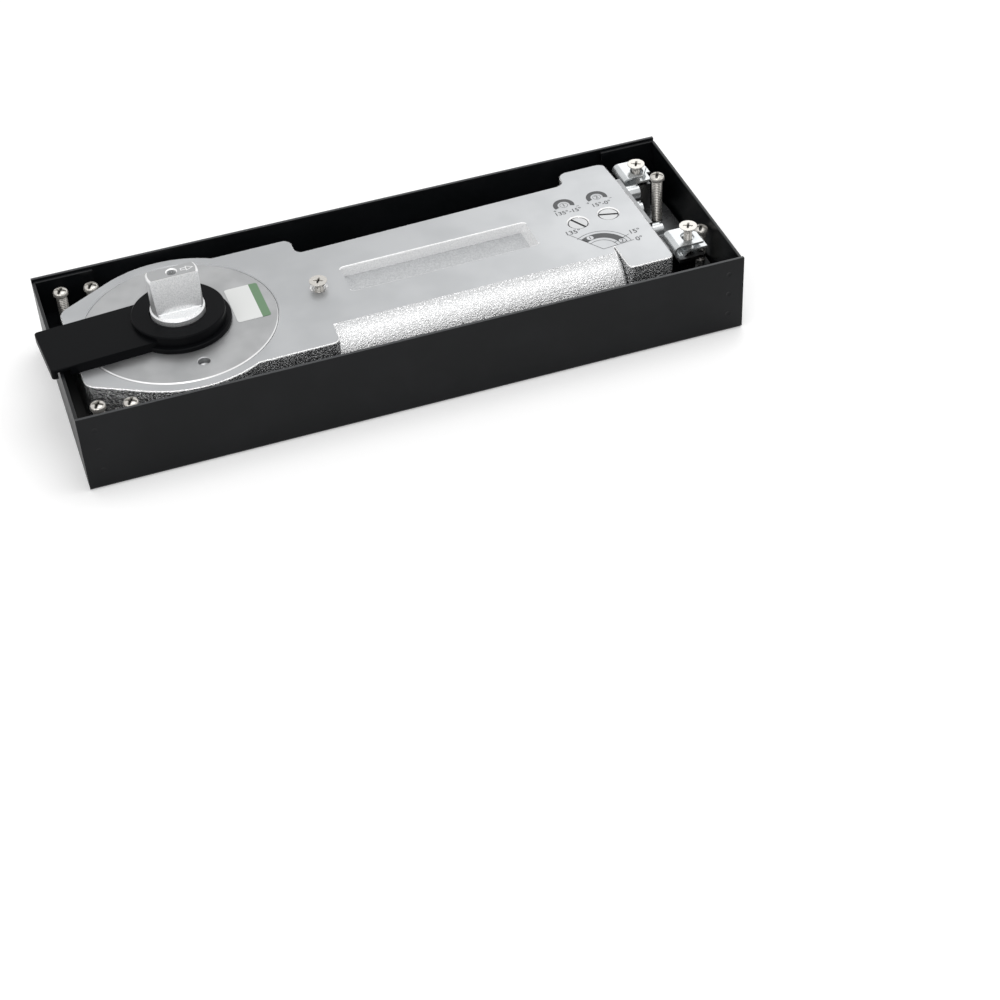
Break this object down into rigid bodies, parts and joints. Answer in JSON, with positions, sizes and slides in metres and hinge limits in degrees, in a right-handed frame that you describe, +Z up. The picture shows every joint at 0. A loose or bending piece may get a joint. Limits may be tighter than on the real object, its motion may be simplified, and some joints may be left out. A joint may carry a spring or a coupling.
{
  "type": "floor spring door closer",
  "caption": "Floor spring door closer: cast closer body with a tapered drive spindle, speed valves and slot filler in an open black sheet-steel floor case.",
  "frame": {"origin": "on the spindle axis, at the underside of the floor case", "axes": "+X along the closer body from the spindle to the speed valves, +Y to the rear, +Z up along the spindle axis"},
  "size_m": [0.3124, 0.1155, 0.064],
  "materials": {
    "black_sheet": "satin black stoved paint",
    "cast_body": "aluminium-painted casting, machined matte top",
    "machined_cover": "turned steel",
    "seal_rubber": "nitrile rubber",
    "bush_bronze": "sintered bronze",
    "ground_steel": "ground and hardened",
    "spring_steel": "shot-peened and phosphated",
    "zinc_screws": "bright zinc plate",
    "zinc_clips": "zinc-plated spring steel",
    "nickel_screws": "nickel plate, cross recess",
    "black_plastic": "moulded, fine satin",
    "label_white": "blank adhesive label",
    "ground_spindle": "bright turned and milled steel",
    "hardened_cam": "hardened and ground",
    "carriage_steel": "blanked steel",
    "valve_steel": "turned, slotted"
  },
  "bodies": {
    "closer": {"case_channel": "black_sheet", "case_end_left": "black_sheet", "case_end_right": "black_sheet", "body_casting": "cast_body", "head_cover": "machined_cover", "cover_seal": "seal_rubber", "upper_bush": "bush_bronze", "shaft_seal": "seal_rubber", "lower_bearing_ring": "ground_steel", "lower_bearing_balls": "ground_steel", "main_spring": "spring_steel", "spring_cap": "machined_cover", "spring_cap_seal": "seal_rubber", "damper_cap": "machined_cover", "damper_cap_seal": "seal_rubber", "gallery_plug": "machined_cover", "end_bracket": "black_sheet", "bracket_screws": "zinc_screws", "cover_clip_rear": "zinc_clips", "cover_clip_front": "zinc_clips", "cover_screws": "nickel_screws", "jack_screws": "zinc_screws", "corner_plates": "black_sheet", "corner_screws": "nickel_screws", "slot_filler": "black_plastic", "blank_label": "label_white"},
    "spindle": {"spindle": "ground_spindle", "cam": "hardened_cam", "cam_key": "ground_steel", "lower_bearing_cone": "ground_steel"},
    "carriage": {"carriage_top_plate": "carriage_steel", "carriage_bottom_plate": "carriage_steel", "roller_pins": "ground_steel", "crosshead": "carriage_steel", "carriage_rivets": "carriage_steel", "spring_rod": "ground_steel", "damper_piston": "ground_steel", "piston_ring": "seal_rubber", "check_ball": "ground_steel", "check_seat": "bush_bronze"},
    "front_roller": {"drive_roller": "ground_steel"},
    "rear_roller": {"return_roller": "ground_steel"},
    "closing_valve": {"closing_valve_screw": "valve_steel", "closing_valve_seal": "seal_rubber"},
    "latching_valve": {"latching_valve_screw": "valve_steel", "latching_valve_seal": "seal_rubber"}
  },
  "joints": [
    {"name": "spindle_swing", "type": "hinge", "parent": "closer", "child": "spindle", "pos_m": [0, 0, 0.019], "axis": [0, 0, 1], "range_deg": [0, 135], "stiffness_Nm_per_rad": 8, "springref_deg": -85.94},
    {"name": "carriage_slide", "type": "slide", "parent": "closer", "child": "carriage", "axis": [1, 0, 0], "range_m": [0, 0.0107], "deforming": ["main_spring"]},
    {"name": "front_roller_spin", "type": "hinge", "parent": "carriage", "child": "front_roller", "pos_m": [0.0185, 0, 0.019], "axis": [0, 0, 1], "continuous": true},
    {"name": "rear_roller_spin", "type": "hinge", "parent": "carriage", "child": "rear_roller", "pos_m": [-0.03264, 0, 0.019], "axis": [0, 0, 1], "continuous": true},
    {"name": "closing_valve_turn", "type": "hinge", "parent": "closer", "child": "closing_valve", "pos_m": [0.1908, 0.0005, 0.032], "axis": [0, 0, 1], "range_deg": [-135, 135]},
    {"name": "latching_valve_turn", "type": "hinge", "parent": "closer", "child": "latching_valve", "pos_m": [0.2065, 0.0017, 0.032], "axis": [0, 0, 1], "range_deg": [-135, 135]}
  ],
  "couplings": [
    {"joint": "carriage_slide", "follows": "spindle_swing", "m_per_rad": 0.0045}
  ]
}
